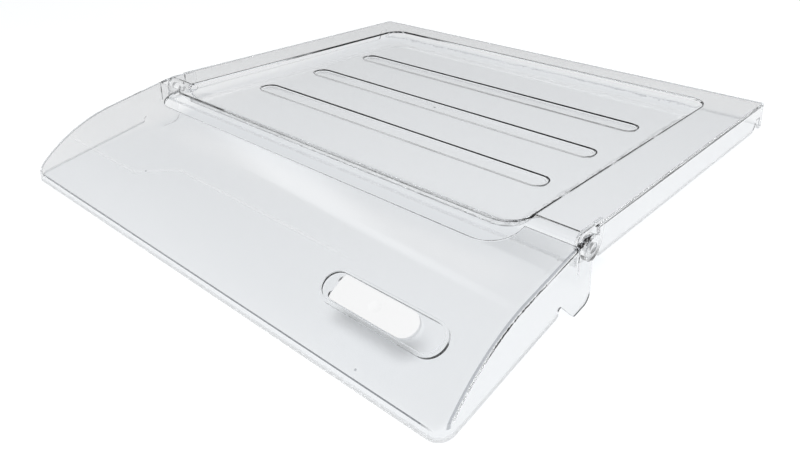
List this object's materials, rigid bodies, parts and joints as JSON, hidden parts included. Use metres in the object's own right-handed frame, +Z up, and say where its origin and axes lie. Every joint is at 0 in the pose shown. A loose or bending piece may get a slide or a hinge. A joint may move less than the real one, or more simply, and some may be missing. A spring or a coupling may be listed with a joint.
{
  "type": "refrigerator fruit tray cover",
  "caption": "Clear cover for a refrigerator fruit tray: a plate with a sunk pan, a curved front flap on hinges and a white vent slider in the flap.",
  "frame": {"origin": "bottom centre of the bounding box, on the table that the cover lies on", "axes": "+X across the cover to the right seen from the front, +Y to the rear, +Z up; the cover lies on its rear skirt, hook tips and front lip, so its plate slopes up to the front by 5.1 degrees"},
  "size_m": [0.4936, 0.486, 0.0544],
  "materials": {
    "clear_plate": "clear glossy polystyrene",
    "clear_flap": "clear glossy polystyrene",
    "white_slider": "white, fine satin"
  },
  "bodies": {
    "cover": {"cover_plate": "clear_plate"},
    "flap": {"front_flap": "clear_flap"},
    "slider": {"vent_slider": "white_slider"}
  },
  "joints": [
    {"name": "flap_hinge", "type": "hinge", "parent": "cover", "child": "flap", "pos_m": [0, -0.08425, 0.03995], "axis": [-1, 0, 0], "range_deg": [0, 90]},
    {"name": "vent_slide", "type": "slide", "parent": "flap", "child": "slider", "axis": [1, 0, 0], "range_m": [-0.0053, 0.0182]}
  ]
}
